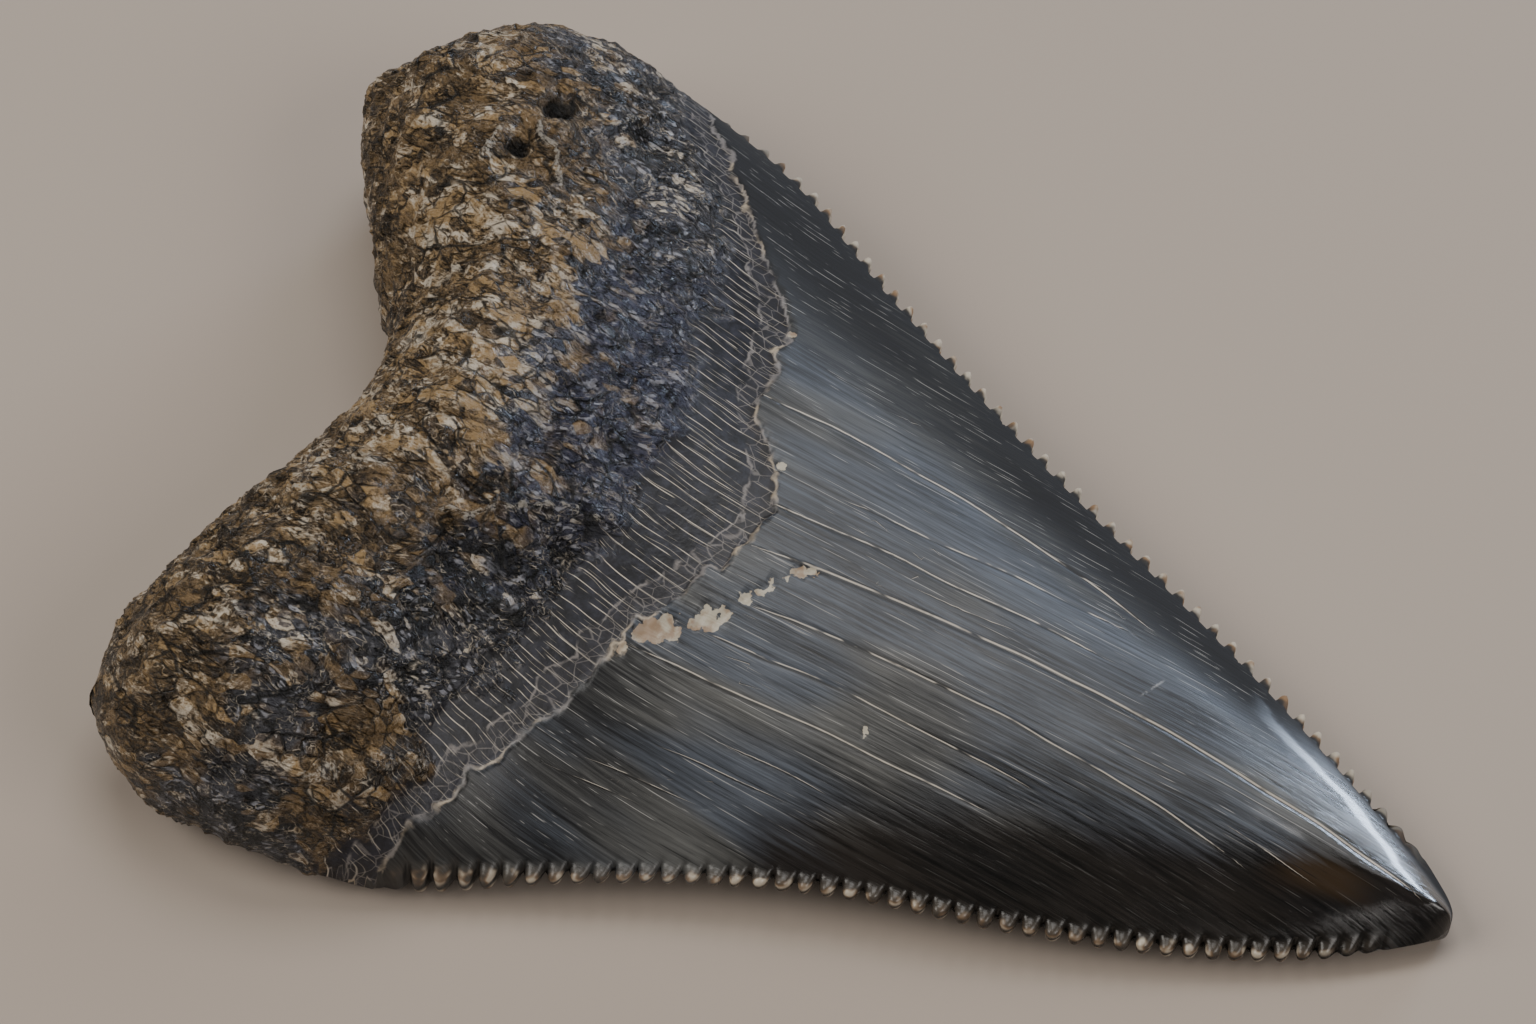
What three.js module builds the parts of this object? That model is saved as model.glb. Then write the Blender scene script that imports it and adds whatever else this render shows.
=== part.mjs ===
// A fossil megalodon tooth, lying on its flatter labial face with the domed lingual face up.
// Millimetres. +X runs from the root to the tip, +Y across the tooth, +Z up.
// The origin is under the middle of the tooth, on the surface that it lies on.

import * as THREE from 'three';
import { mergeGeometries, mergeVertices } from 'three/addons/utils/BufferGeometryUtils.js';

// Outline of the tooth in plan, before it is centred: x from the shoulders to the tip, y across.
const CROWN_LENGTH = 107.5;
const TIP = [CROWN_LENGTH, 0];
const NEAR_CORNER = [-24, -52];
const FAR_CORNER = [-42, 39.5];
const NEAR_LOBE = [NEAR_CORNER, [-16, -56.5], [-4, -56.5], [11.5, -51.5]];
const NEAR_BLADE = [[25, -44.2], [38.5, -36.8], [53.5, -30.2], [69.5, -24.8], [84.5, -18.2], [97, -10.9],
  [104.2, -4.8], [106.8, -2]];
const FAR_LOBE = [FAR_CORNER, [-35, 46.5], [-24, 50.5], [-11.5, 50.8]];
const FAR_BLADE = [[4, 47.6], [20.5, 39.6], [37, 32], [53.5, 25.3], [70, 19.3], [85.5, 13.2], [98, 7.4],
  [104.4, 3.7], [106.8, 1.8]];
const ROOT_ARCH = [[-25.2, -43], [-23.8, -32], [-21.2, -20], [-19, -8], [-22, 3], [-30, 12.5], [-38, 22],
  [-43, 31]];

// How far along each side the lobe ends and the cutting edge starts, from 0 at the root to 1 at the tip.
const SHOULDER = 0.27;
// How far the arch of the root reaches into the tooth, in the same measure, and how fast it fades.
const ARCH_REACH = 0.42;
const ARCH_FADE = 1.6;

// Heights above the surface, as [place along the tooth, height].
const CREST = [[0, 24], [0.1, 26], [0.19, 26.5], [0.3, 23.5], [0.4, 18.8], [0.55, 15.2], [0.75, 11.4],
  [0.9, 7.9], [0.97, 6], [1, 5.2]];
const NEAR_EDGE = [[0, 10], [0.15, 8], [SHOULDER, 2.6], [0.4, 4.5], [0.6, 5.5], [0.85, 3], [1, 2.5]];
const FAR_EDGE = [[0, 12], [0.15, 11], [SHOULDER, 9.5], [0.4, 9.6], [0.6, 8.4], [0.75, 6.6], [0.85, 5.2],
  [0.95, 3.9], [1, 2.5]];
// The lobes are lower than the bulge between them by this much.
const LOBE_DROP = 4;

// The cross-section goes from a blunt root to a lens-shaped blade between these two places.
const ROOT_SECTION_ENDS = 0.16;
const BLADE_SECTION_STARTS = 0.42;
const BLADE_BLUNTNESS = 1.9;
// The root is rounded over this distance in from its outline.
const ROOT_ROUNDING = 14;
// The tip is rounded over this last share of the length.
const TIP_ROUNDING = 0.03;

// The labial face is pressed flat where the tooth rests on it.
const FLATTENING = 1.22;

// Serrations: knobs along each cutting edge, with a notch after each. They fade out before the tip.
const SERRATIONS = 48;
const NOTCH_DEPTH = 1.2;
const LAST_SERRATION = 0.94;
const FADE_LENGTH = 0.1;

// Rows of the root lie closer together towards its rounded base, by this power.
const ROW_CROWDING = 1.4;
const ROOT_ROWS = 20;
const BLADE_ROWS = 2 * SERRATIONS;
const COLUMNS = 16;

const between = (a, b, t) => a + (b - a) * t;

// A smooth value at x, through the keys: cubic pieces with slopes taken from the keys on each side.
function smoothThrough(keys, x) {
  let i = 0;
  while (i < keys.length - 2 && x > keys[i + 1][0]) {
    i += 1;
  }
  const slope = (k) => {
    const a = keys[Math.max(k - 1, 0)];
    const b = keys[Math.min(k + 1, keys.length - 1)];
    return (b[1] - a[1]) / (b[0] - a[0]);
  };
  const [x0, y0] = keys[i];
  const [x1, y1] = keys[i + 1];
  const span = x1 - x0;
  const t = (x - x0) / span;
  const rise = (2 * t - 3) * t * t;
  return y0 * (1 + rise) - y1 * rise + span * t * (t - 1) * (slope(i) * (t - 1) + slope(i + 1) * t);
}

// One side of the tooth: its lobe, then its cutting edge, by place along the tooth.
function sideOf(lobe, blade) {
  const curve = (points) => new THREE.SplineCurve(points.map(([x, y]) => new THREE.Vector2(x, y)));
  const shoulder = lobe[lobe.length - 1];
  const lobeCurve = curve(lobe);
  const edgeCurve = curve([shoulder, ...blade, TIP]);
  return (u) => {
    if (u < SHOULDER) {
      return lobeCurve.getPointAt(u / SHOULDER);
    }
    return edgeCurve.getPointAt((u - SHOULDER) / (1 - SHOULDER));
  };
}

const nearSide = sideOf(NEAR_LOBE, NEAR_BLADE);
const farSide = sideOf(FAR_LOBE, FAR_BLADE);
const archPoints = [NEAR_CORNER, ...ROOT_ARCH, FAR_CORNER].map(([x, y]) => new THREE.Vector2(x, y));
const rootArch = new THREE.SplineCurve(archPoints);

// The whole outline as short straight pieces, for measuring how far in from it a point is.
const OUTLINE_STEPS = 60;
const outline = [];
for (let i = 0; i < OUTLINE_STEPS; i += 1) {
  outline.push(nearSide(1 - i / OUTLINE_STEPS));
}
for (let i = 0; i < OUTLINE_STEPS; i += 1) {
  outline.push(rootArch.getPointAt(i / OUTLINE_STEPS));
}
for (let i = 0; i <= OUTLINE_STEPS; i += 1) {
  outline.push(farSide(i / OUTLINE_STEPS));
}

function distanceIn(point) {
  const nearest = new THREE.Vector3();
  const flat = new THREE.Vector3(point.x, point.y, 0);
  const piece = new THREE.Line3();
  let least = Infinity;
  for (let i = 1; i < outline.length; i += 1) {
    piece.start.set(outline[i - 1].x, outline[i - 1].y, 0);
    piece.end.set(outline[i].x, outline[i].y, 0);
    piece.closestPointToPoint(flat, true, nearest);
    least = Math.min(least, nearest.distanceTo(flat));
  }
  return least;
}

// How far the rim is cut in at a row of the cutting edge: every other row is a notch.
function notch(row) {
  const isNotch = row > 0 && row % 2 === 1;
  const fade = THREE.MathUtils.clamp((LAST_SERRATION - row / BLADE_ROWS) / FADE_LENGTH, 0, 1);
  return isNotch ? NOTCH_DEPTH * fade : 0;
}

// Plan position of the point at u along the tooth and v across it, from -1 to 1.
function planPoint(u, v, cutIn) {
  const w = (1 + v) / 2;
  const near = nearSide(u);
  const far = farSide(u);
  const straightBase = new THREE.Vector2(...NEAR_CORNER).lerp(new THREE.Vector2(...FAR_CORNER), w);
  const arch = rootArch.getPointAt(w).sub(straightBase);
  const fade = Math.max(0, 1 - u / ARCH_REACH) ** ARCH_FADE;
  const across = far.clone().sub(near).normalize();
  const point = near.clone().lerp(far, w).addScaledVector(arch, fade);
  const isSide = Math.abs(v) === 1;
  return point.addScaledVector(across, isSide ? -v * cutIn : 0);
}

function rimHeight(u, v) {
  return between(smoothThrough(NEAR_EDGE, u), smoothThrough(FAR_EDGE, u), (1 + v) / 2);
}

// Height of the same point, on the lingual (upper) or the labial (lower) face.
function height(u, v, point, isLingual) {
  const bladeShare = THREE.MathUtils.smoothstep(u, ROOT_SECTION_ENDS, BLADE_SECTION_STARTS);
  const blade = 1 - Math.abs(v) ** BLADE_BLUNTNESS;
  const toRim = 1 - Math.min(distanceIn(point) / ROOT_ROUNDING, 1);
  const toTip = Math.max(0, 1 - (1 - u) / TIP_ROUNDING);
  const fullness = between(Math.sqrt(1 - toRim * toRim), blade * Math.sqrt(1 - toTip * toTip), bladeShare);
  const rim = rimHeight(u, v);
  if (isLingual) {
    const crest = smoothThrough(CREST, u) - LOBE_DROP * v * v * (1 - bladeShare);
    return rim + (crest - between(rim, rimHeight(u, 0), bladeShare)) * fullness;
  }
  return rim * (1 - Math.min(1, fullness * FLATTENING));
}

// Place along the tooth of a row of the grid: closer together at the rounded base of the root.
function rowPlace(row) {
  if (row <= ROOT_ROWS) {
    return SHOULDER * (row / ROOT_ROWS) ** ROW_CROWDING;
  }
  return between(SHOULDER, 1, (row - ROOT_ROWS) / BLADE_ROWS);
}

// One face of the tooth: a grid whose rows run across the tooth from the base to the tip.
function face(isLingual) {
  const rows = ROOT_ROWS + BLADE_ROWS;
  const sheet = new THREE.PlaneGeometry(COLUMNS, rows, COLUMNS, rows);
  const position = sheet.getAttribute('position');
  for (let i = 0; i < position.count; i += 1) {
    const row = Math.round(rows / 2 - position.getY(i));
    const column = Math.round(position.getX(i) + COLUMNS / 2);
    const isSide = column === 0 || column === COLUMNS;
    const v = -Math.cos((Math.PI * column) / COLUMNS);
    const u = rowPlace(row);
    const point = planPoint(u, v, notch(row - ROOT_ROWS));
    const isRim = isSide || row === 0 || row === rows;
    position.setXYZ(i, point.x, point.y, isRim ? rimHeight(u, v) : height(u, v, point, isLingual));
  }
  sheet.deleteAttribute('normal');
  sheet.deleteAttribute('uv');
  if (!isLingual) {
    const index = sheet.getIndex();
    for (let i = 0; i < index.count; i += 3) {
      const first = index.getX(i);
      index.setX(i, index.getX(i + 1));
      index.setX(i + 1, first);
    }
  }
  return sheet;
}

// The two faces joined at their rim. Triangles squeezed to nothing at the tip are left out, and so is
// the pair at a corner whose three points all lie on the rim.
function closedTooth() {
  const joined = mergeVertices(mergeGeometries([face(true), face(false)]));
  const index = joined.getIndex();
  const seen = new Map();
  const triangles = [];
  for (let i = 0; i < index.count; i += 3) {
    const corners = [index.getX(i), index.getX(i + 1), index.getX(i + 2)];
    if (new Set(corners).size === 3) {
      const key = [...corners].sort((a, b) => a - b).join();
      seen.set(key, (seen.get(key) ?? 0) + 1);
      triangles.push({ corners, key });
    }
  }
  joined.setIndex(triangles.filter(({ key }) => seen.get(key) === 1).flatMap(({ corners }) => corners));
  return joined;
}

const geometry = closedTooth();
geometry.computeBoundingBox();
const { min, max } = geometry.boundingBox;
geometry.translate(-(min.x + max.x) / 2, -(min.y + max.y) / 2, -min.z);
geometry.computeVertexNormals();

const tooth = new THREE.Mesh(
  geometry,
  new THREE.MeshStandardMaterial({ color: 0x23262a, roughness: 0.35, metalness: 0 }),
);
tooth.name = 'tooth';

const group = new THREE.Group();
group.add(tooth);

export default group;
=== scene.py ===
"""A fossil megalodon tooth that lies on its labial face, in a plain studio."""

from bisect import bisect_right
from collections import namedtuple
from functools import lru_cache
from itertools import accumulate
from math import copysign, cos, pi, radians, sin, sqrt

import bmesh
import bpy
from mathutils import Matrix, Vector, noise
from mathutils.geometry import interpolate_bezier
from mathutils.kdtree import KDTree


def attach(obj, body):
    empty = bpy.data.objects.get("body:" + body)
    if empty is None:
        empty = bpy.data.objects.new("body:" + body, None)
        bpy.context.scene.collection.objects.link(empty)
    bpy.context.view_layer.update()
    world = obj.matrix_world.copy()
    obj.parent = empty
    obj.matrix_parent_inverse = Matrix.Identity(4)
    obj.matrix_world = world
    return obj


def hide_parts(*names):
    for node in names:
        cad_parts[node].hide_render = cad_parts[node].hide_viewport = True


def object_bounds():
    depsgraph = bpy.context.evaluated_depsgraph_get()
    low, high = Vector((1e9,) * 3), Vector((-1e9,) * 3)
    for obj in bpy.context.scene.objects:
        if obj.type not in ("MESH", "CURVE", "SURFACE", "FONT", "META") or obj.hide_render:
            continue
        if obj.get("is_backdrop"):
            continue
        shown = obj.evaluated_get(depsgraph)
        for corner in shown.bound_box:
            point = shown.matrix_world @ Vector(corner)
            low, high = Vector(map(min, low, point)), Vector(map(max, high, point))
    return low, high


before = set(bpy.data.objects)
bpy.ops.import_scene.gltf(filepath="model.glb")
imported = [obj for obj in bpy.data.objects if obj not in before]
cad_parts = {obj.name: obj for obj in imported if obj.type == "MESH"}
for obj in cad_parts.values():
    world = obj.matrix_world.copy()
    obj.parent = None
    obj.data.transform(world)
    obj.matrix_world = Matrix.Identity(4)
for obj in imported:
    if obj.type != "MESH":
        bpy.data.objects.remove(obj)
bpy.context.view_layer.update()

MM = 0.001

# ---------------------------------------------------------------------------------------------------
# Camera. It looks down at the lingual face over the near cutting edge, with the tip towards the lower
# right, and a long lens keeps the blade's taper true.
# ---------------------------------------------------------------------------------------------------

CAMERA_AZIMUTH = radians(30.7)
CAMERA_ELEVATION = radians(52)
CAMERA_DISTANCE = 520 * MM
CAMERA_LENS = 115
SENSOR_WIDTH = 36
CAMERA_NEAREST = 10 * MM
CAMERA_AIM = Vector((-8.7, 10.0, 8.0)) * MM

towards_camera = Vector((
    sin(CAMERA_AZIMUTH) * cos(CAMERA_ELEVATION),
    -cos(CAMERA_AZIMUTH) * cos(CAMERA_ELEVATION),
    sin(CAMERA_ELEVATION),
))
camera = bpy.data.objects.new("camera", bpy.data.cameras.new("camera"))
camera.data.lens = CAMERA_LENS
camera.data.sensor_width = SENSOR_WIDTH
camera.data.clip_start = CAMERA_NEAREST
camera.location = CAMERA_AIM + towards_camera * CAMERA_DISTANCE
camera.rotation_mode = "QUATERNION"
camera.rotation_quaternion = (-towards_camera).to_track_quat("-Z", "Y")
bpy.context.scene.collection.objects.link(camera)
bpy.context.scene.camera = camera

# ---------------------------------------------------------------------------------------------------
# Studio. A plain pale matt floor, a bluish window low behind the tooth that shines along its far facet,
# soft light off the wall behind it and from overhead, and a warm fill from each side of the camera.
# ---------------------------------------------------------------------------------------------------

FLOOR_SIZE = 3.0
FLOOR_COLOUR = (0.35, 0.295, 0.25)
FLOOR_ROUGHNESS = 0.75
ROOM_COLOUR = (0.75, 0.73, 0.7)
ROOM_STRENGTH = 0.12
# Lamps: name, azimuth and elevation in degrees, distance, size, watts, colour.
LAMPS = (
    ("window", 174, 12, 1.2, (0.42, 0.15), 6.8, (0.66, 0.79, 1.0)),
    ("back wall", 172, 42, 1.3, (1.2, 0.4), 2.3, (0.96, 0.98, 1.0)),
    ("overhead", 206, 66, 1.1, (0.7, 0.5), 5.4, (1.0, 0.99, 0.97)),
    ("left fill", -55, 42, 1.2, (0.8, 0.7), 10, (1.0, 0.96, 0.9)),
    ("right fill", 85, 38, 1.2, (0.8, 0.6), 7, (1.0, 0.96, 0.92)),
)


def lamp(name, azimuth, elevation, distance, size, power, colour):
    """A rectangular soft light that faces the tooth."""
    data = bpy.data.lights.new(name, "AREA")
    data.shape = "RECTANGLE"
    data.size, data.size_y = size
    data.energy = power
    data.color = colour
    light = bpy.data.objects.new(name, data)
    a, e = radians(azimuth), radians(elevation)
    away = Vector((sin(a) * cos(e), -cos(a) * cos(e), sin(e)))
    light.location = away * distance
    light.rotation_mode = "QUATERNION"
    light.rotation_quaternion = away.to_track_quat("Z", "Y")
    bpy.context.scene.collection.objects.link(light)


for settings in LAMPS:
    lamp(*settings)

world = bpy.data.worlds.new("studio")
world.use_nodes = True
background = world.node_tree.nodes["Background"]
background.inputs["Color"].default_value = (*ROOM_COLOUR, 1)
background.inputs["Strength"].default_value = ROOM_STRENGTH
bpy.context.scene.world = world

floor_sheet = bmesh.new()
bmesh.ops.create_grid(floor_sheet, x_segments=4, y_segments=4, size=FLOOR_SIZE / 2)
floor_mesh = bpy.data.meshes.new("floor")
floor_sheet.to_mesh(floor_mesh)
floor_sheet.free()
studio_floor = bpy.data.objects.new("floor", floor_mesh)
bpy.context.scene.collection.objects.link(studio_floor)
floor_paint = bpy.data.materials.new("plain matt floor")
floor_paint.use_nodes = True
floor_shader = floor_paint.node_tree.nodes["Principled BSDF"]
floor_shader.inputs["Base Color"].default_value = (*FLOOR_COLOUR, 1)
floor_shader.inputs["Roughness"].default_value = FLOOR_ROUGHNESS
studio_floor.data.materials.append(floor_paint)
studio_floor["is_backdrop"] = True

# ---------------------------------------------------------------------------------------------------
# The tooth: form. One grown piece of mineralised bone and enamel. It is a sheet folded over at its
# rim, with rows that run across the tooth and columns that run from the root to the tip.
# Lengths are in millimetres in the tooth's own drawing, x from the shoulders to the tip.
# ---------------------------------------------------------------------------------------------------

# Outline in plan, as (x, y): the two lobes and cutting edges, then the arch of the root.
TIP = (107.5, 0)
NEAR_CORNER = (-24, -52)
FAR_CORNER = (-42, 39.5)
NEAR_LOBE = (NEAR_CORNER, (-16, -56.5), (-4, -56.5), (11.5, -51.5))
NEAR_BLADE = ((25, -44.2), (38.5, -36.8), (53.5, -30.2), (69.5, -24.8), (84.5, -18.2), (97, -10.9),
              (104.2, -4.8), (106.8, -2))
FAR_LOBE = (FAR_CORNER, (-35, 46.5), (-24, 50.5), (-11.5, 50.8))
FAR_BLADE = ((4, 47.6), (20.5, 39.6), (37, 32), (53.5, 25.3), (70, 19.3), (85.5, 13.2), (98, 7.4),
             (104.4, 3.7), (106.8, 1.8))
ROOT_ARCH = ((-25.2, -43), (-23.8, -32), (-21.2, -20), (-19, -8), (-22, 3), (-30, 12.5), (-38, 22), (-43, 31))

# Places along the tooth run from 0 at the root to 1 at the tip, and the lobes end at the shoulder.
SHOULDER = 0.27
ARCH_REACH = 0.42
ARCH_FADE = 1.6
# Heights above the floor, as (place along, height).
CREST = ((0, 24), (0.1, 26), (0.19, 26.5), (0.3, 23.5), (0.4, 18.8), (0.55, 15.2), (0.75, 11.4), (0.9, 7.9),
         (0.97, 6.0), (1, 5.2))
NEAR_EDGE = ((0, 10), (0.15, 8), (SHOULDER, 2.6), (0.4, 4.5), (0.6, 5.5), (0.85, 3), (1, 2.5))
FAR_EDGE = ((0, 12), (0.15, 11), (SHOULDER, 9.5), (0.4, 9.6), (0.6, 8.4), (0.75, 6.6), (0.85, 5.2),
            (0.95, 3.9), (1, 2.5))
LOBE_DROP = 4
# The cross-section goes from a blunt root to a lens, and the lens gains a keel before the tip.
ROOT_SECTION_ENDS = 0.16
BLADE_SECTION_STARTS = 0.42
BLADE_BLUNTNESS = 1.9
ROOT_ROUNDING = 14
TIP_ROUNDING = 0.03
KEEL_STARTS = 0.72
KEEL_FULL_FROM = 0.95
KEEL_SHIFT = 0.12
KEEL_BLUNTNESS = 1.25
FLATTENING = 1.22
CURVE_STEPS = 160


def mix(a, b, t):
    return a + (b - a) * t


def smooth_step(low, high, x):
    t = min(max((x - low) / (high - low), 0), 1)
    return t * t * (3 - 2 * t)


def smooth_through(keys, x):
    """A smooth value at x through the keys, with slopes taken from the keys on each side."""
    i = 0
    while i < len(keys) - 2 and x > keys[i + 1][0]:
        i += 1

    def slope(k):
        before, after = keys[max(k - 1, 0)], keys[min(k + 1, len(keys) - 1)]
        return (after[1] - before[1]) / (after[0] - before[0])

    (x0, y0), (x1, y1) = keys[i], keys[i + 1]
    span = x1 - x0
    t = (x - x0) / span
    rise = (2 * t - 3) * t * t
    return y0 * (1 + rise) - y1 * rise + span * t * (t - 1) * (slope(i) * (t - 1) + slope(i + 1) * t)


def smooth_curve(points):
    """A function giving the point at t, from 0 to 1 by length, on a smooth curve through the points."""
    points = [Vector(p) for p in points]
    padded = [points[0], *points, points[-1]]
    path = [points[0]]
    for before, start, end, after in zip(padded, padded[1:], padded[2:], padded[3:]):
        pull_out, pull_in = (end - before) / 6, (after - start) / 6
        path += interpolate_bezier(start, start + pull_out, end - pull_in, end, CURVE_STEPS)[1:]
    lengths = [0, *accumulate((b - a).length for a, b in zip(path, path[1:]))]

    @lru_cache(maxsize=None)
    def at(t):
        target = min(max(t, 0), 1) * lengths[-1]
        i = min(bisect_right(lengths, target) - 1, len(path) - 2)
        return path[i].lerp(path[i + 1], (target - lengths[i]) / (lengths[i + 1] - lengths[i]))

    return at, path


def side_of(lobe, blade):
    """One side of the tooth, its lobe and then its cutting edge, by place along the tooth."""
    lobe_at, lobe_path = smooth_curve(lobe)
    edge_at, edge_path = smooth_curve((lobe[-1], *blade, TIP))

    def at(u):
        return lobe_at(u / SHOULDER) if u < SHOULDER else edge_at((u - SHOULDER) / (1 - SHOULDER))

    return at, lobe_path + edge_path


near_side, near_path = side_of(NEAR_LOBE, NEAR_BLADE)
far_side, far_path = side_of(FAR_LOBE, FAR_BLADE)
root_arch, arch_path = smooth_curve((NEAR_CORNER, *ROOT_ARCH, FAR_CORNER))
outline = near_path + arch_path + far_path
outline_tree = KDTree(len(outline))
for number, place in enumerate(outline):
    outline_tree.insert(place.to_3d(), number)
outline_tree.balance()


def distance_in(point):
    """How far in from the outline a point is, up to where that stops mattering."""
    return min(outline_tree.find(point.to_3d())[2], ROOT_ROUNDING)


def rim_height(u, v):
    return mix(smooth_through(NEAR_EDGE, u), smooth_through(FAR_EDGE, u), (1 + v) / 2)


def plan_point(u, v):
    """The point in plan at u along the tooth and v across it, from -1 at the near side to 1."""
    w = (1 + v) / 2
    arch = root_arch(w) - Vector(NEAR_CORNER).lerp(Vector(FAR_CORNER), w)
    fade = max(0, 1 - u / ARCH_REACH) ** ARCH_FADE
    return near_side(u).lerp(far_side(u), w) + arch * fade


def form_height(u, v, point, is_lingual):
    blade_share = smooth_step(ROOT_SECTION_ENDS, BLADE_SECTION_STARTS, u)
    to_tip = max(0, 1 - (1 - u) / TIP_ROUNDING)
    keel = smooth_step(KEEL_STARTS, KEEL_FULL_FROM, u)
    off_crest = abs(v + KEEL_SHIFT * keel * (1 - v * v))
    blade = (1 - off_crest ** mix(BLADE_BLUNTNESS, KEEL_BLUNTNESS, keel)) * sqrt(1 - to_tip * to_tip)
    root = 0
    if blade_share < 1:
        to_rim = 1 - distance_in(point) / ROOT_ROUNDING
        root = sqrt(max(0, 1 - to_rim * to_rim))
    fullness = mix(root, blade, blade_share)
    rim = rim_height(u, v)
    if is_lingual:
        crest = smooth_through(CREST, u) - LOBE_DROP * v * v * (1 - blade_share)
        return rim + (crest - mix(rim, rim_height(u, 0), blade_share)) * fullness
    return rim * (1 - min(1, fullness * FLATTENING))


# Rows and columns of the sheet, and how much they crowd towards the base and towards the rim.
ROOT_ROWS = 36
SERRATIONS = 48
ROWS_PER_SERRATION = 3
BLADE_ROWS = SERRATIONS * ROWS_PER_SERRATION
ROWS = ROOT_ROWS + BLADE_ROWS
COLUMNS = 60
ROW_CROWDING = 1.4
RIM_CROWDING = 0.5


def row_to_u(row):
    """Place along the tooth of a row, which may lie between two rows of the sheet."""
    if row < ROOT_ROWS:
        return SHOULDER * (row / ROOT_ROWS) ** ROW_CROWDING
    return mix(SHOULDER, 1, (row - ROOT_ROWS) / BLADE_ROWS)


def column_to_v(column):
    c = 2 * column / COLUMNS - 1
    return mix(c, sin(pi / 2 * c), RIM_CROWDING)


# The enamel's edge on each face and the root's edge of the bourlette, as (place across, place along).
ENAMEL_LINE = ((-1, 0.272), (-0.84, 0.319), (-0.65, 0.358), (-0.49, 0.383), (-0.29, 0.415), (-0.1, 0.45),
               (0.1, 0.447), (0.2, 0.419), (0.35, 0.411), (0.5, 0.406), (0.62, 0.377), (0.76, 0.335),
               (1, 0.268))
BOURLETTE_TOP = ((-1, 0.242), (-0.91, 0.275), (-0.7, 0.306), (-0.43, 0.338), (-0.1, 0.367), (0.13, 0.369),
                 (0.34, 0.36), (0.57, 0.348), (0.71, 0.326), (0.83, 0.286), (1, 0.255))
LABIAL_LINE = ((-1, 0.25), (-0.6, 0.285), (0, 0.235), (0.6, 0.295), (1, 0.268))
LENGTH_ALONG = 147

# Fissures in the enamel: where each starts and ends, how far it bows to the far side, and its width.
FISSURES = (
    ((16, 12.6), (68, 11.5), 2.6, 0.26), ((31, 6.0), (67, 10.2), 0.4, 0.2), ((22, 0.8), (67, 5.4), 0.6, 0.22),
    ((27, -4.0), (105, -0.9), 3.1, 0.36), ((29, -10.0), (89, -7.7), 2.0, 0.26),
    ((26, -15.2), (67, -12.1), 1.0, 0.22), ((21, -20.2), (64, -16.0), 0.4, 0.26),
    ((33, -23.6), (51, -22.4), 0.2, 0.12), ((28, -27.2), (47, -25.0), 0.3, 0.12),
    ((19, -34.9), (34, -32.0), 0.2, 0.11), ((22, -32.2), (39, -29.2), 0.2, 0.12),
    ((28, 19.8), (37, 21.4), 0.2, 0.12), ((41, 0.6), (59, 2.8), 0.2, 0.11),
    ((82, -5.1), (96, -5.2), 0.2, 0.17),
)
FISSURE_TAPER = 7
FISSURE_REACH = 1.2
FISSURE_FULL_WITHIN = 0.7
FISSURE_WAVE = 0.3
FISSURE_WAVE_LENGTH = 8


def fissure_at(x, y):
    """The signed distance to the nearest fissure and that fissure's width, which is 0 away from it."""
    nearest, width = 9, 0
    for number, (start, end, bow, widest) in enumerate(FISSURES):
        if start[0] < x < end[0]:
            t = (x - start[0]) / (end[0] - start[0])
            wave = FISSURE_WAVE * noise.noise(Vector((x / FISSURE_WAVE_LENGTH, number * 7.3, 0)))
            offset = y - mix(start[1], end[1], t) - 4 * bow * t * (1 - t) - wave
            if abs(offset) < abs(nearest):
                taper = min(1, min(x - start[0], end[0] - x) / FISSURE_TAPER)
                near = smooth_step(FISSURE_REACH, FISSURE_FULL_WITHIN, abs(offset))
                nearest, width = offset, widest * taper * near
    return nearest, width


# Chips out of the enamel: x, y, radius.
CHIPS = (
    (23.2, -18.4, 0.9), (24.0, -17.2, 1.3), (25.6, -16.4, 1.1), (24.8, -15.6, 1.0), (27.6, -14.6, 0.6),
    (28.6, -13.4, 1.0), (27.6, -13.0, 0.8), (29.6, -11.9, 0.8), (30.4, -9.3, 0.7), (31.2, -8.0, 0.6),
    (31.8, -6.3, 0.7), (32.8, -5.0, 0.5), (33.6, -3.7, 0.9), (34.6, -3.0, 0.8), (22.4, -20.6, 0.6),
    (48.0, -15.4, 0.5), (16.6, 22.9, 0.6), (25.4, 6.2, 0.6),
)


def chip_at(point):
    """How far inside a chip in the enamel a point is, in mm, or below 0 outside."""
    return max(radius - (point - Vector((x, y))).length for x, y, radius in CHIPS)


def in_plan(row, column):
    """Place along and across, the point in plan, and the distance in from the cutting edge."""
    u, v = row_to_u(row), column_to_v(column)
    point = plan_point(u, v)
    return u, v, point, (1 - abs(v)) * (far_side(u) - near_side(u)).length / 2


def refine(mesh, faces_wanted, cuts_along, cuts_across):
    """Cuts the wanted faces' edges that run along the tooth, then those that run across it."""
    for axis, cuts in ((0, cuts_along), (1, cuts_across)):
        if cuts:
            edges = set()
            for face in mesh.faces:
                centre = face.calc_center_median()
                if faces_wanted(face, centre.x, centre.y):
                    edges.update(edge for edge in face.edges
                                 if abs((edge.verts[0].co - edge.verts[1].co)[1 - axis]) < 1e-4)
            bmesh.ops.subdivide_edges(mesh, edges=list(edges), cuts=cuts, use_grid_fill=True)


# Where the sheet is cut finer: by the cutting edges, over the root, and by fissures, chips and borders.
SERRATION_BAND = 2.1
ROOT_REFINED_TO = 0.36
BORDER_BAND = 1.8
CHIP_BAND = 0.8


def in_serration_band(face, row, column):
    return row > ROOT_ROWS and in_plan(row, column)[3] < SERRATION_BAND


def in_lingual_root(face, row, column):
    is_root = face[is_lingual_face] and row_to_u(row) < ROOT_REFINED_TO
    return is_root and not in_serration_band(face, row, column)


def in_labial_root(face, row, column):
    return not face[is_lingual_face] and row_to_u(row) < SHOULDER


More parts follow.
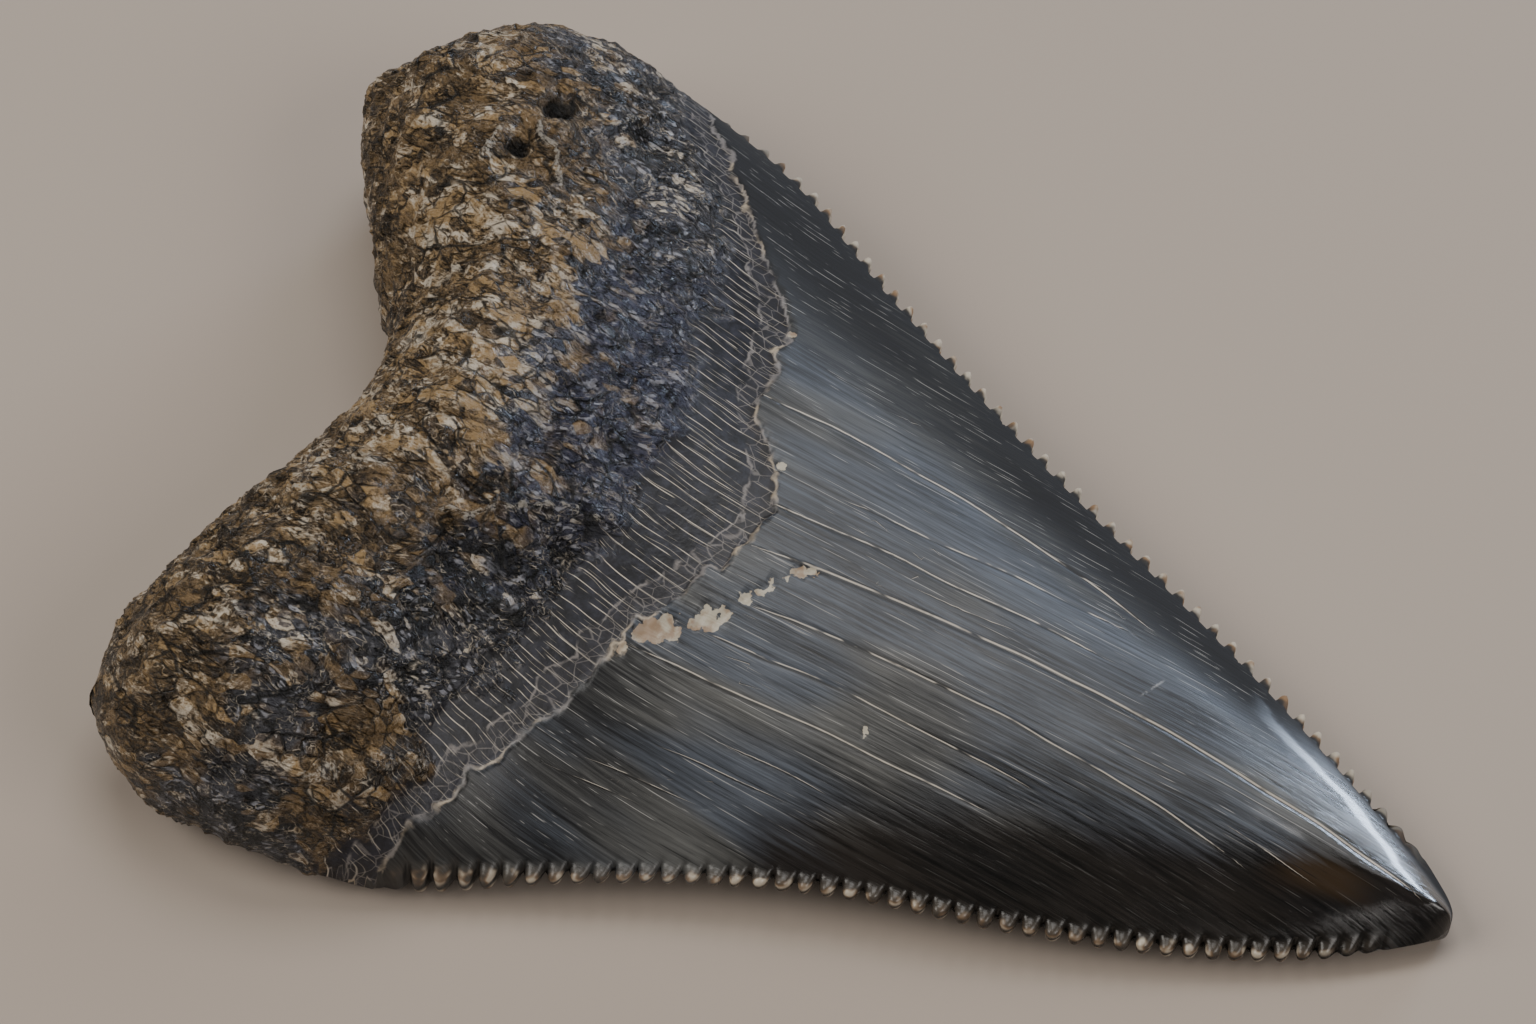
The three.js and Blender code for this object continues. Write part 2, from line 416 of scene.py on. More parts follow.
def near_fissure(face, row, column):
    u, v, point, inward = in_plan(row, column)
    is_blade = face[is_lingual_face] and inward > SERRATION_BAND and u > ROOT_REFINED_TO
    return is_blade and abs(fissure_at(*point)[0]) < FISSURE_REACH


def near_enamel_line(face, row, column):
    u, v, point, inward = in_plan(row, column)
    to_line = abs(u - smooth_through(ENAMEL_LINE, v)) * LENGTH_ALONG
    is_near = to_line < BORDER_BAND or chip_at(point) > -CHIP_BAND
    return face[is_lingual_face] and u > ROOT_REFINED_TO and is_near


sheet = bmesh.new()
bmesh.ops.create_grid(sheet, x_segments=ROWS, y_segments=COLUMNS, size=0.5)
for vert in sheet.verts:
    vert.co = Vector(((vert.co.x + 0.5) * ROWS, (vert.co.y + 0.5) * COLUMNS, 0))
is_lingual_face = sheet.faces.layers.int.new("lingual")
labial_half = bmesh.ops.duplicate(sheet, geom=sheet.verts[:] + sheet.edges[:] + sheet.faces[:])["geom"]
labial_faces = [part for part in labial_half if isinstance(part, bmesh.types.BMFace)]
for face in sheet.faces:
    face[is_lingual_face] = 1
for face in labial_faces:
    face[is_lingual_face] = 0
bmesh.ops.reverse_faces(sheet, faces=labial_faces)
refine(sheet, in_serration_band, 3, 1)
refine(sheet, in_lingual_root, 2, 2)
refine(sheet, in_labial_root, 2, 2)
refine(sheet, near_fissure, 0, 4)
refine(sheet, near_enamel_line, 2, 1)
bmesh.ops.triangulate(sheet, faces=[face for face in sheet.faces if len(face.verts) > 4])

# Every vertex keeps its own place: along and across the tooth, how far in from the cutting edge, how far
# past the enamel's edge and the bourlette's, where it is on a serration, and how near a fissure.
JOIN_WITHIN = 0.02
NOTCH_DEPTH = 1.2
LAST_SERRATION = 0.94
SERRATION_FADE = 0.1
SERRATION_START = 0.05
SPACING_UNEVENNESS = 0.12
DEPTH_UNEVENNESS = 0.5
KNOB_ROUNDNESS = 0.8
KNOB_NARROWNESS = 1.5
FAR_NOTCH_SHARE = 1.6
HOOK_CREST = 0.6
HOOK_BLUNTNESS = 1.5
GROOVE_DEPTH = 0.55
BEAD_HEIGHT = 0.5
BEAD_LENGTH = 1.9
FIRST_BEAD_SIZE = 0.55
BEADS_FULL_FROM = 0.37
# The borders of the enamel and the bourlette wander, as (distance, length) of each size of wave.
BORDER_WAVES = ((1.5, 3.6), (0.8, 1.3))
LABIAL_BOURLETTE = 0.02


def serration_at(u, v):
    """How much of a notch there is, and how much of a knob. The far edge's notches are hooked."""
    along = (u - SHOULDER) / (1 - SHOULDER)
    if along < 0:
        return 0, 0
    number = SERRATIONS * along
    uneven = noise.noise(Vector((number * 0.9, v * 9, 3.1)))
    number += SPACING_UNEVENNESS * uneven
    phase = number % 1
    from_crest = max(1 - phase / HOOK_CREST, (phase - HOOK_CREST) / (1 - HOOK_CREST))
    hooked = FAR_NOTCH_SHARE * from_crest ** HOOK_BLUNTNESS
    rounded = 1 - abs(cos(pi * number)) ** KNOB_ROUNDNESS
    gap = hooked if v > 0 else rounded
    fade = min(max((LAST_SERRATION - along) / SERRATION_FADE, 0), 1) * smooth_step(0, SERRATION_START, along)
    return gap * fade * (1 + DEPTH_UNEVENNESS * uneven), max(0, 1 - gap) ** KNOB_NARROWNESS * fade


LAYER_NAMES = ("enamel", "bourlette", "rim", "gap", "fissure", "fissure_width", "chip", "mark", "bead",
               "lingual", "relief", "along", "across")
layers = {name: sheet.verts.layers.float.new(name) for name in LAYER_NAMES}
corners = []
for vert in sheet.verts:
    row, column = vert.co.x, vert.co.y
    u, v, point, inward = in_plan(row, column)
    lingual = vert.link_faces[0][is_lingual_face]
    is_side = min(column, COLUMNS - column) < 1e-4
    is_rim = is_side or min(row, ROWS - row) < 1e-4
    height = rim_height(u, v) if is_rim else form_height(u, v, point, lingual)
    gap, knob = serration_at(u, copysign(1, v))
    size = mix(FIRST_BEAD_SIZE, 1, smooth_step(SHOULDER, BEADS_FULL_FROM, u))
    reach = max(0, 1 - inward / (SERRATION_BAND * size))
    outwards = (far_side(u) - near_side(u)).normalized() * copysign(1, v)
    point = point - outwards * NOTCH_DEPTH * gap * reach
    enamel_edge = smooth_through(ENAMEL_LINE if lingual else LABIAL_LINE, v)
    bourlette_edge = smooth_through(BOURLETTE_TOP, v) if lingual else enamel_edge - LABIAL_BOURLETTE
    to_fissure, width = fissure_at(*point) if lingual else (FISSURE_REACH, 0)
    vert.co = Vector((*point, height))
    vert[layers["along"]], vert[layers["across"]] = u, v
    wander = sum(distance * noise.noise(vert.co / length) for distance, length in BORDER_WAVES)
    vert[layers["enamel"]] = (u - enamel_edge) * LENGTH_ALONG + wander * min(1, inward / 4)
    vert[layers["bourlette"]] = (u - bourlette_edge) * LENGTH_ALONG + 2 * wander
    vert[layers["rim"]] = 0 if is_rim else inward
    vert[layers["gap"]] = gap * reach
    vert[layers["fissure"]] = to_fissure
    vert[layers["fissure_width"]] = width
    on_bead = smooth_step(0, 0.5, inward) * smooth_step(BEAD_LENGTH * size, 0.6 * size, inward)
    vert[layers["bead"]] = knob * on_bead
    vert[layers["chip"]] = chip_at(point) if lingual else -9
    vert[layers["lingual"]] = lingual
    if is_side and row < 1e-4:
        corners.append(vert)
for corner in corners:
    inner = max(corner.link_faces[0].verts, key=lambda other: (other.co - corner.co).xy.length)
    bmesh.ops.connect_verts(sheet, verts=[corner, inner])
bmesh.ops.remove_doubles(sheet, verts=sheet.verts, dist=JOIN_WITHIN)

low = Vector(min(vert.co[axis] for vert in sheet.verts) for axis in range(3))
high = Vector(max(vert.co[axis] for vert in sheet.verts) for axis in range(3))
shift = Vector((*((low + high) / 2).xy, 0))

# Relief: the root is lumpy and flaked, the bourlette is smooth and a little hollow, and the enamel
# stands over it with faint ribs along the blade.
LUMPS = ((0.9, 17), (0.65, 6.5), (0.36, 3.0))  # height, length
FINE_LUMPS = 0.12
FLAKE = (0.38, 3.4, 1.5)  # height, length, width
PIT = (0.7, 3.0, 0.36)  # depth, spacing, size as a share of the spacing
ENAMEL_STEP = 0.34
LABIAL_STEP = 0.5
RIB = (0.13, 5.2)  # height, length
RIM_RELIEF = 0.15
# The corners of the root are worn smooth within this distance, and down by these depths.
CORNER_CALM = 9
NEAR_CORNER_WEAR = 1.4
FAR_CORNER_WEAR = 1.8
CHIP_DEPTH = 0.3
SINK_DEPTH = 0.25
FISSURE_DEPTH = 0.16
# Hollows in the lingual face: x, y, radius, depth.
HOLLOWS = (
    (8.8, -20.6, 4.5, 1.1), (13.5, -15.8, 4.0, 0.9), (4.0, -24, 4.0, 0.6), (-18.2, 24.6, 2.2, 1.8),
    (-17.8, 32.2, 3.3, 2.6), (-8, -30, 7, 0.7), (-6, 6, 9, 0.5), (-27, 30, 6, 0.6), (3, 34, 7, 0.5),
    (-12, -47, 5, 0.6), (-2, -38, 4, 0.7), (6, -45, 4, 0.6), (-16, 12, 4, 0.5), (-8, 36, 3.5, 0.6),
)
# Ridges on it: start, end, half width, height.
RIDGES = (
    ((1.5, -21.0), (7, -15.1), 0.45, 0.7), ((7, -15.1), (11.9, -11.4), 0.45, 0.8),
    ((11.9, -11.4), (18.5, -8.8), 0.4, 0.6), ((-17.5, 27.8), (-11.5, 22.7), 0.7, 0.9),
    ((-20.8, 26), (-20.2, 20.5), 0.6, 0.6), ((4, -50), (14, -40), 1.2, 0.5),
    ((-13, 33), (-9.5, 41), 0.6, 0.5), ((-12, -41), (-2, -45), 0.7, 0.5), ((-14, -26), (-6, -20), 0.8, 0.5),
)


def lump(place, height, length, seed):
    return height * noise.noise(place / length + Vector((seed, 0, 0)))


def fractured(place):
    """Flakes drawn out along the tooth: sharp ridges with rounded hollows between them."""
    height, length, width = FLAKE
    bend = 3 * noise.noise(place / 14)
    stretched = Vector((place.x / length, (place.y + bend) / width, place.z / width))
    first = 1 - abs(noise.noise(stretched)) * 2
    second = 1 - abs(noise.noise(stretched * 2.1 + Vector((7, 3, 1)))) * 2
    return height * (first * first + 0.5 * second * first - 0.8)


def pitted(place):
    depth, spacing, size = PIT
    nearest = noise.voronoi(place / spacing)[0][0]
    return -depth * smooth_step(size, 0, nearest) * smooth_step(-0.1, 0.3, noise.noise(place / 9))


def to_segment(point, start, end):
    line = Vector(end) - Vector(start)
    t = min(max((point - Vector(start)).dot(line) / line.length_squared, 0), 1)
    return (point - Vector(start) - line * t).length


def marks_at(point):
    """Hollows, below 0, and ridges, above 0, that are placed one by one in the root."""
    mark = 0
    for x, y, radius, depth in HOLLOWS:
        mark -= depth * smooth_step(radius, 0, (point - Vector((x, y))).length)
    for start, end, width, height in RIDGES:
        mark += height * smooth_step(width * 1.3, 0, to_segment(point, start, end))
    return mark


def relief_at(vert):
    place, v = vert.co, vert[layers["across"]]
    point = place.xy
    lingual = vert[layers["lingual"]]
    enamel = vert[layers["enamel"]]
    root = 1 - smooth_step(-2, 0.8, vert[layers["bourlette"]])
    away = smooth_step(0, 3, vert[layers["rim"]])
    lumps = sum(lump(place, height, length, 11 * number) for number, (height, length) in enumerate(LUMPS))
    corner, wear = (NEAR_CORNER, NEAR_CORNER_WEAR) if v < 0 else (FAR_CORNER, FAR_CORNER_WEAR)
    calm = smooth_step(0, CORNER_CALM, (point - Vector(corner)).length)
    root_relief = lumps + fractured(place) + pitted(place)
    coarse = root * (root_relief * calm - wear * (1 - calm))
    fine = (1 - root) * FINE_LUMPS * lumps
    crown = smooth_step(-0.2, 0.2, enamel)
    rib = lump(Vector((place.x / 9, place.y, 0)), *RIB, 40) * smooth_step(2, 12, enamel)
    layer = ENAMEL_STEP * crown * away * (lingual or LABIAL_STEP)
    if not lingual:
        return coarse + fine + layer + rib
    width = max(vert[layers["fissure_width"]], 0.01)
    groove = FISSURE_DEPTH * max(0, 1 - abs(vert[layers["fissure"]]) / width)
    chip = CHIP_DEPTH * smooth_step(0, 0.4, vert[layers["chip"]])
    sunk = SINK_DEPTH * (1 - root) * (1 - crown) * away
    wobbled = point + Vector((noise.noise(place / 2), noise.noise(place / 1.9)))
    vert[layers["mark"]] = root * marks_at(wobbled)
    return coarse + fine + layer + rib * away - (groove + chip) * crown - sunk + vert[layers["mark"]]


sheet.normal_update()
for vert in sheet.verts:
    relief = relief_at(vert)
    fade = smooth_step(0, 6, vert[layers["rim"]]) if vert[layers["along"]] > SHOULDER else 1
    relief = mix(RIM_RELIEF * relief, relief, fade) - GROOVE_DEPTH * vert[layers["gap"]]
    relief += BEAD_HEIGHT * vert[layers["bead"]]
    vert[layers["relief"]] = relief
moved = {vert: vert.co + vert.normal * vert[layers["relief"]] for vert in sheet.verts}
for vert, place in moved.items():
    vert.co = (Vector((place.x, place.y, max(place.z, 0))) - shift) * MM

tooth_mesh = bpy.data.meshes.new("megalodon_tooth")
for face in sheet.faces:
    face.smooth = True
sheet.to_mesh(tooth_mesh)
sheet.free()
tooth = bpy.data.objects.new("megalodon_tooth", tooth_mesh)
bpy.context.scene.collection.objects.link(tooth)

# ---------------------------------------------------------------------------------------------------
# The tooth: surface. Buried bone and enamel that minerals have turned dark: flaking blue-black bone
# with cream and ochre stains, a dark smooth bourlette lined with pale cracks, and glossy slate enamel.
# ---------------------------------------------------------------------------------------------------

# Linear colours. Each pair runs from its tint at 0 to its tint at 1.
GROUND_TINTS = ((0.004, 0.004, 0.005), (0.068, 0.068, 0.08))
BLUE_TINTS = ((0.012, 0.013, 0.025), (0.07, 0.076, 0.135))
OCHRE_TINTS = ((0.019, 0.0125, 0.0065), (0.2, 0.129, 0.06))
CREAM_TINTS = ((0.65, 0.565, 0.45), (0.36, 0.24, 0.115))
SPECK_GLINT_TINT = (0.38, 0.38, 0.42)
CAVITY_SHADE_TINT = (0.003, 0.0028, 0.0025)
HOLLOW_SHADE_TINT = (0.003, 0.003, 0.003)
RIDGE_HIGHLIGHT_TINT = (0.44, 0.4, 0.34)
BOURLETTE_TINTS = ((0.003, 0.003, 0.005), (0.022, 0.023, 0.034))
SCALE_TINT = (0.045, 0.042, 0.045)
STRIPE_TINT = (0.58, 0.52, 0.43)
CRAZING_TINT = (0.26, 0.235, 0.22)
SLATE_TINTS = ((0.076, 0.088, 0.11), (0.09, 0.09, 0.086))
FAR_SHADE_TINT = (0.028, 0.029, 0.028)
SHADE_TINT = (0.007, 0.007, 0.008)
BROWN_AND_SHADE_TINTS = ((0.002, 0.0018, 0.0015), (0.011, 0.008, 0.006))
GOLD_AND_HIGHLIGHT_TINT = (0.045, 0.026, 0.011)
HAIR_TINT = (0.4, 0.39, 0.37)
DARK_HAIR_TINT = (0.004, 0.004, 0.004)
LIP_FILL_AND_HIGHLIGHT_TINT = (0.55, 0.5, 0.43)
CRACK_AND_SHADOW_TINT = (0.005, 0.004, 0.0035)
SEAM_TINTS = ((0.2, 0.185, 0.18), (0.46, 0.38, 0.28))
CHIP_TINTS = ((0.27, 0.19, 0.125), (0.42, 0.38, 0.3))
BEAD_TINT = (0.12, 0.1, 0.08)
TIP_CREAM_AND_HIGHLIGHT_TINTS = ((0.25, 0.145, 0.07), (0.52, 0.455, 0.36))
SCRATCH_TINT = (0.4, 0.4, 0.4)
NOTCH_SHADE_TINT = (0.006, 0.005, 0.004)

Cells = namedtuple("Cells", "tone edge")


class Value:
    """A node's output that arithmetic works on. Numbers may stand on either side of an operator."""

    def __init__(self, tree, socket):
        self.tree = tree
        self.socket = socket

    def node(self, kind, inputs, output=0, **settings):
        made = self.tree.nodes.new(kind)
        for name, setting in settings.items():
            setattr(made, name, setting)
        for name, value in inputs.items():
            if isinstance(value, Value):
                self.tree.links.new(value.socket, made.inputs[name])
            else:
                made.inputs[name].default_value = value
        return Value(self.tree, made.outputs[output])

    def math(self, operation, a, b=0.0):
        return self.node("ShaderNodeMath", {0: a, 1: b}, operation=operation)

    def __add__(self, other):
        return self.math("ADD", self, other)

    def __sub__(self, other):
        return self.math("SUBTRACT", self, other)

    def __rsub__(self, other):
        return self.math("SUBTRACT", other, self)

    def __mul__(self, other):
        return self.math("MULTIPLY", self, other)

    def __truediv__(self, other):
        return self.math("DIVIDE", self, other)

    def __abs__(self):
        return self.math("ABSOLUTE", self)

    __radd__ = __add__
    __rmul__ = __mul__

    def rise(self, low, high):
        """Goes smoothly from 0 at low to 1 at high."""
        inputs = {"Value": self, "From Min": low, "From Max": high}
        return self.node("ShaderNodeMapRange", inputs, interpolation_type="SMOOTHSTEP")

    def line(self, width):
        """1 on the middle of a line where the value is 0, and 0 beyond its width on each side."""
        return 1 - abs(self).rise(0, width)

    def ruled(self, spacing, width):
        """1 on lines that lie a spacing apart and are twice the width across, and 0 between them."""
        turns = self / spacing
        return (turns.math("FRACT", turns) - 0.5).line(width / spacing)

    def scaled(self, x, y, z):
        return self.node("ShaderNodeVectorMath", {0: self, 1: (x, y, z)}, operation="MULTIPLY")

    def shifted(self, x, y, z):
        return self.node("ShaderNodeVectorMath", {0: self, 1: (x, y, z)}, operation="ADD")

    def noise(self, length, detail=2.0, roughness=0.5, distortion=0.0):
        """Noise about 0 whose patches have the given length."""
        inputs = {"Vector": self, "Scale": 1 / length, "Detail": detail, "Roughness": roughness,
                  "Distortion": distortion}
        return self.node("ShaderNodeTexNoise", inputs, "Fac") - 0.5

    def cells(self, length, output="Distance", feature="F1"):
        inputs = {"Vector": self, "Scale": 1 / length}
        return self.node("ShaderNodeTexVoronoi", inputs, output, feature=feature)

    def noise_cells(self, length):
        """Cells of the given length: a tone of its own for each, and the distance in from its edge."""
        tone = self.node("ShaderNodeSeparateColor", {"Color": self.cells(length, "Color")}, "Red")
        return Cells(tone, self.cells(length, feature="DISTANCE_TO_EDGE"))

    def blend(self, a, b):
        """Colour a where this is 0, colour b where it is 1."""
        colours = {6 + i: c if isinstance(c, Value) else (*c, 1) for i, c in enumerate((a, b))}
        return self.node("ShaderNodeMix", {0: self, **colours}, 2, data_type="RGBA")

    def attribute(self, name):
        return self.node("ShaderNodeAttribute", {}, "Fac", attribute_name=name)


fossil = bpy.data.materials.new("mineralised bone and enamel")
fossil.use_nodes = True
shader = fossil.node_tree.nodes["Principled BSDF"]
coordinates = fossil.node_tree.nodes.new("ShaderNodeTexCoord")
place = Value(fossil.node_tree, coordinates.outputs["Object"]).scaled(1 / MM, 1 / MM, 1 / MM)

(from_enamel, from_bourlette, rim, gap, fissure, fissure_width, chip, mark, bead, _, relief, along,
 across) = (place.attribute(name) for name in LAYER_NAMES)
from_fissure = fissure / fissure_width.math("MAXIMUM", fissure_width, 0.04)
is_fissured = fissure_width.rise(0.02, 0.1)

fray = place.noise(0.9, 3, 0.6)
past_enamel = from_enamel + fray * 0.8
crown = past_enamel.rise(-0.08, 0.08)
bone = 1 - (from_bourlette + place.noise(3.0, 4, 0.65) * 5 + fray * 3).rise(-2.5, 0.8)

# Bone: dark flakes and plates, some of them cream, over a ground that turns from blue-black to ochre, with
# painted shade in its crevices and hollows and painted highlights on its ridges.
warped = place.node("ShaderNodeTexNoise", {"Vector": place, "Scale": 0.15, "Detail": 0.5}, "Color")
drawn_out = place.node("ShaderNodeVectorMath", {0: warped.scaled(3.2, 3.2, 3.2), 1: place}, operation="ADD")
flakes, plates, slabs = (drawn_out.scaled(0.5, 1, 1).shifted(seed, 0, 0).noise_cells(length)
                         for seed, length in ((0, 0.42), (20, 1.2), (40, 3.4)))
grain = drawn_out.scaled(0.55, 1, 1).noise(0.4, 4, 0.75)
patches = place.noise(9, 3, 0.6)
blotches = place.noise(3.5, 3, 0.6, 0.4)
sliver_place = drawn_out.scaled(0.3, 1, 1)
slivers = sliver_place.noise(1.0, 1).line(0.022) * drawn_out.noise(2.2, 2).rise(-0.02, 0.07)
splinters = sliver_place.shifted(9, 5, 3).noise(0.5, 1).line(0.035) * drawn_out.noise(1.3, 2).rise(0.0, 0.08)
pale_band = abs(across - 0.05).rise(0.6, 0.25) * abs(along - 0.16).rise(0.14, 0.07)
near_crust = across.rise(-0.72, -0.86) * along.rise(0.19, 0.24)
towards_base = from_bourlette + patches * 40 + blotches * 30 + grain * 14 - plates.tone * 9
towards_base = (towards_base - near_crust * 22).rise(-9, -34)
in_middle = abs(across - 0.05 + blotches).rise(0.6, 0.2)
blue = (from_bourlette + patches * 16 + grain * 12).rise(-22, -10) * in_middle
warm = (towards_base * 1.4 + blotches * 1.2 + grain * 0.8 + plates.tone * 0.3 - 0.35).rise(0.0, 0.85)
ground = (patches * 1.2 + 0.35 + grain * 1.2 + blotches * 0.8 + plates.tone * 0.3).rise(0.25, 0.95)
ground = ground.blend(*GROUND_TINTS)
blue_bone = (grain + 0.5).rise(0.35, 0.75).blend(*BLUE_TINTS)
ground = (blue * 0.75).blend(ground, blue_bone)
stain = (blotches + grain * 1.5 + plates.tone * 0.35 + pale_band * 0.1 - 0.17).rise(-0.28, 0.36)
stain = stain.blend(*OCHRE_TINTS)
golden = (place.noise(2.6, 3, 0.6) + grain * 0.4).rise(0.12, -0.06)
cream = (golden * warm).blend(*CREAM_TINTS)
flaked = flakes.tone * 0.38 + plates.tone * 0.5 + slabs.tone * 0.3 + patches * 0.5 + grain * 0.75
flaked = (flaked + towards_base * 0.17 + pale_band * 0.2).rise(0.85, 1.1)
flaked = flaked + slivers * 0.7 + splinters * 0.6
# Pale specks on the bone: partly its own pale grains and partly painted glints where light catches it.
speck_glints = flakes.tone.rise(0.7, 0.9) * drawn_out.noise(1.5, 2).rise(-0.06, 0.1)
flaked = flaked.math("MINIMUM", flaked, 1.0) * (1 - blue * 0.6)
bone_colour = (flaked * 0.9).blend(warm.blend(ground, stain), cream)
bone_colour = (speck_glints * (1 - warm) * 0.7).blend(bone_colour, SPECK_GLINT_TINT)
crevice = plates.edge.rise(0.09, 0.02) * place.noise(2.5, 2).rise(-0.12, 0.08)
slab_crevice = slabs.edge.rise(0.06, 0.015) * place.noise(5, 2).rise(-0.08, 0.06)
# Painted shade: darker where the relief is low, in grainy patches, and along the crevices between plates and
# slabs.
cavity_shade = (0.06 - grain * 1.8 - relief * 0.25).rise(0.2, 0.6)
cavity_shade = cavity_shade.math("MAXIMUM", cavity_shade, crevice.math("MAXIMUM", crevice * 0.85, slab_crevice))
bone_colour = (cavity_shade * 0.9).blend(bone_colour, CAVITY_SHADE_TINT)
# Painted shade in the hollows set into the root.
bone_colour = ((mark + grain * 0.7).rise(-0.4, -1.2) * 0.9).blend(bone_colour, HOLLOW_SHADE_TINT)
# Painted highlight along the crests of the ridges in the root.
bone_colour = ((mark + grain * 2.2 + fray * 0.8).rise(0.4, 0.7) * 0.75).blend(bone_colour, RIDGE_HIGHLIGHT_TINT)

# Bourlette: near black, with pale cracks drawn out along the tooth and crazed scales beside the enamel.
wander = place.scaled(0.06, 0.3, 0.3).noise(1, 1) * 1.2
stripe_place = place.node("ShaderNodeSeparateXYZ", {"Vector": place}, "Y") + wander
stripe_here = place.scaled(0.09, 1, 1).noise(1.3, 1).rise(-0.12, 0.01)
stripe = stripe_place.ruled(1.15, 0.07) * stripe_here
fine_here = place.shifted(3, 3, 3).scaled(0.12, 1, 1).noise(1.1, 1).rise(-0.02, 0.08)
stripe = stripe + (stripe_place + wander * 0.7).ruled(0.7, 0.045) * fine_here * 0.5
stripe = stripe.math("MINIMUM", stripe, 1.0) * (from_bourlette + fray * 9).rise(-8, 1)
scales = past_enamel.rise(-3.4, -2.6)
net = (drawn_out.cells(1.7, feature="DISTANCE_TO_EDGE") + fray * 0.08).rise(0.05, 0.0) * scales
second_seam = (past_enamel + 3.1).line(0.3) * place.noise(2.4, 2).rise(-0.1, 0.06)
bourlette_colour = (place.noise(1.6, 4, 0.7) + 0.5).rise(0.35, 0.75).blend(*BOURLETTE_TINTS)
bourlette_colour = (scales * 0.25).blend(bourlette_colour, SCALE_TINT)
bourlette_colour = (stripe * 0.92 * (1 - scales * 0.5)).blend(bourlette_colour, STRIPE_TINT)
bourlette_colour = (net * 0.4 + second_seam * 0.6).blend(bourlette_colour, CRAZING_TINT)

# Enamel: slate, painted darker towards the far edge as shade, that clears to brown-black by the near edge and
# the tip, partly a brown tint and partly painted shade, combed with fine pale scratches.
across_place = place.node("ShaderNodeSeparateXYZ", {"Vector": place}, "Y")
length_place = place.node("ShaderNodeSeparateXYZ", {"Vector": place}, "X")
comb_place = across_place - 0.045 * length_place + place.scaled(0.25, 1, 1).noise(9, 1) * 1.3
lines = comb_place.node("ShaderNodeCombineXYZ", {"Y": comb_place})
combed = comb_place.node("ShaderNodeCombineXYZ", {"X": length_place * 0.03, "Y": comb_place})
streaks = combed.noise(0.5, 4, 0.75)
cloud = place.scaled(0.3, 1, 1).noise(9, 3, 0.45)
# Brown-black by the near edge and on the tip's near facet: partly a brown tint and partly painted shade where
# the surface turns down away from the light.
towards_shaded_side = across - 1.35 * (along - 0.55) + 0.7
near_brown_and_shade = (towards_shaded_side + cloud * 0.4 + streaks * 0.3).rise(0.16, -0.14)
near_brown_and_shade = near_brown_and_shade * (along + cloud * 0.15).rise(0.5, 0.57)
brown_and_shade_mask = near_brown_and_shade + (along + cloud * 0.2).rise(0.84, 0.95) * across.rise(0.3, 0.0)
brown_and_shade_mask = brown_and_shade_mask.math("MINIMUM", brown_and_shade_mask, 1.0) * 0.95
# Painted shade: the enamel is darker towards the far cutting edge, where the steep facet turns from the
# light. The same band is made rougher below.
far_shade = across.rise(0.35, 0.8)
calm = across.rise(-0.4, -0.75) * along.rise(0.6, 0.5)
sheen = cloud * (0.9 - calm * 0.6) + streaks * (1.4 - calm * 0.5)
sheen = sheen - far_shade * 0.3 - along.rise(0.47, 0.38) * 0.14
olive = place.shifted(30, 0, 0).scaled(0.3, 1, 1).noise(8, 1) + abs(across + 0.15) * 0.2 - 0.04
slate = olive.rise(-0.06, 0.14).blend(*SLATE_TINTS)
slate = far_shade.blend(slate, FAR_SHADE_TINT)
slate = sheen.rise(-0.34, 0.3).blend(SHADE_TINT, slate)
brown_and_shade = (cloud + streaks).rise(-0.15, 0.25).blend(*BROWN_AND_SHADE_TINTS)
# A golden patch by the tip's ridge: partly a golden tint and partly a painted highlight along the ridge.
gold_and_ridge_light = abs(along - 0.89 + streaks * 0.04).rise(0.05, 0.01) * abs(across + 0.3 + cloud * 0.5).rise(0.26, 0.06)
brown_and_shade = (gold_and_ridge_light * 0.6).blend(brown_and_shade, GOLD_AND_HIGHLIGHT_TINT)
crown_colour = brown_and_shade_mask.blend(slate, brown_and_shade)
here = place.scaled(0.04, 1, 1)
sway = lines.noise(2.4, 0) * 0.9
hairs = (comb_place + sway).ruled(0.8, 0.06) * here.noise(1.4, 2).rise(0.04, 0.14)
hairs = hairs + (comb_place - sway).ruled(0.5, 0.05) * here.shifted(5, 5, 5).noise(0.9, 2).rise(0.1, 0.2)
hairs = hairs.math("MINIMUM", hairs, 1.0) * (1 - brown_and_shade_mask * 0.85) * rim.rise(1.5, 5)
dark_hairs = (comb_place + sway * 0.6 + 0.3).ruled(0.9, 0.07)
dark_hairs = dark_hairs * here.shifted(9, 9, 9).noise(1.4, 2).rise(0.04, 0.14)
crown_colour = (dark_hairs * 0.75).blend(crown_colour, DARK_HAIR_TINT)
crown_colour = (hairs * 0.65).blend(crown_colour, HAIR_TINT)
# A pale line on one lip of each fissure: partly pale fill and partly a painted highlight on the lip.
lip_fill_and_highlight = (from_fissure - 0.55).line(0.42) * place.scaled(0.3, 1, 1).noise(1.1, 2).rise(-0.14, 0.02) * is_fissured
# A dark band on the other side of each fissure: partly the dark crack and partly a painted shadow along it.
crack_and_shadow = (from_fissure + 0.5).line(1.3) * is_fissured
crown_colour = (crack_and_shadow * 0.85).blend(crown_colour, CRACK_AND_SHADOW_TINT)
crown_colour = (lip_fill_and_highlight * 0.9).blend(crown_colour, LIP_FILL_AND_HIGHLIGHT_TINT)
seam = (past_enamel - 0.1).line(0.4) * place.noise(2.4, 2).rise(-0.16, 0.06)
seam_colour = place.noise(4, 2).rise(-0.06, 0.14).blend(*SEAM_TINTS)
chipped = (chip + place.noise(1.2, 2, 0.6) * 2.0).rise(0.0, 0.1)
chip_tone = place.noise(2.2, 3) + fray * 0.5 + along.rise(0.415, 0.44) * 0.2 - 0.1
chip_colour = chip_tone.rise(-0.12, 0.14).blend(*CHIP_TINTS)
crown_colour = (chipped * 0.92).blend(crown_colour, chip_colour)
